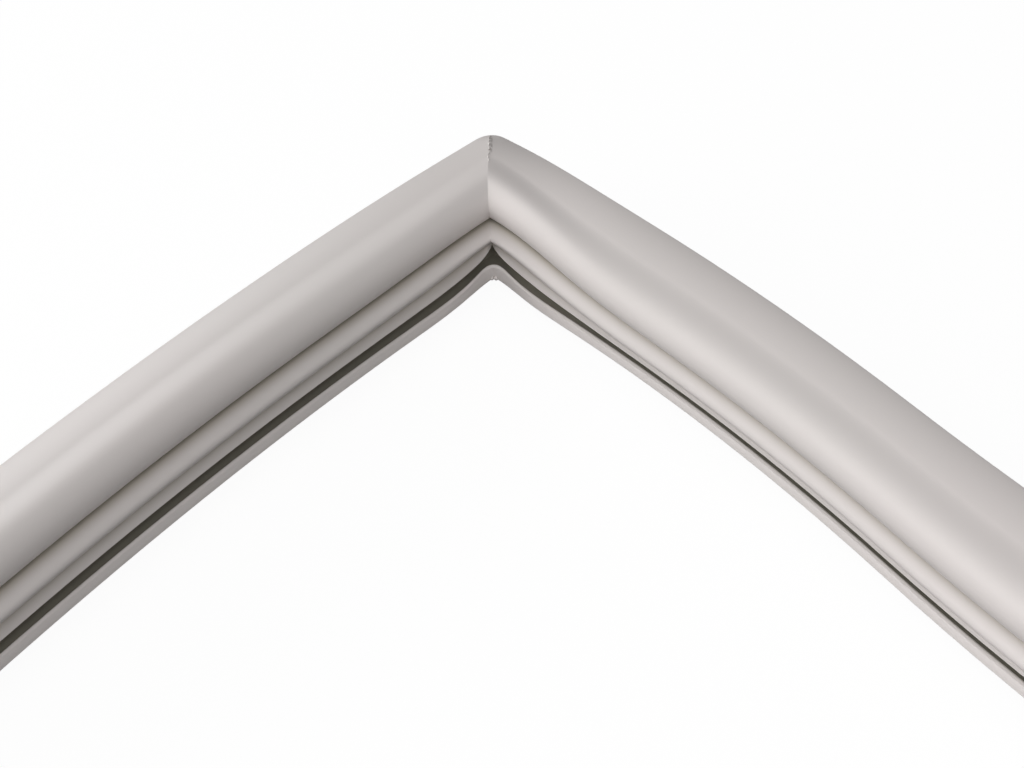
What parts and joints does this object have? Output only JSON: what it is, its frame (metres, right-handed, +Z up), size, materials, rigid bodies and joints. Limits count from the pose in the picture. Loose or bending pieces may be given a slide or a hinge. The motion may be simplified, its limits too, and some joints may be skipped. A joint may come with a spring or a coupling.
{
  "type": "refrigerator door gasket",
  "caption": "Soft vinyl magnetic door seal: a mitred, heat-welded frame with a broad face, magnet bulb, bellows folds, lip, flange and push-in dart.",
  "frame": {"origin": "centre of the frame's opening, on the surface that the dart's flat end rests on", "axes": "+X along the long sides, +Y along the short sides, +Z up from the dart to the sealing face"},
  "size_m": [0.7196, 0.5598, 0.0313],
  "materials": {
    "vinyl": "satin warm light grey soft vinyl",
    "ferrite": "dull dark brown ferrite-filled strip"
  },
  "bodies": {
    "root": {"vinyl_frame": "vinyl", "magnet_strip_back": "ferrite", "magnet_strip_left": "ferrite", "magnet_strip_front": "ferrite", "magnet_strip_right": "ferrite"}
  },
  "joints": []
}
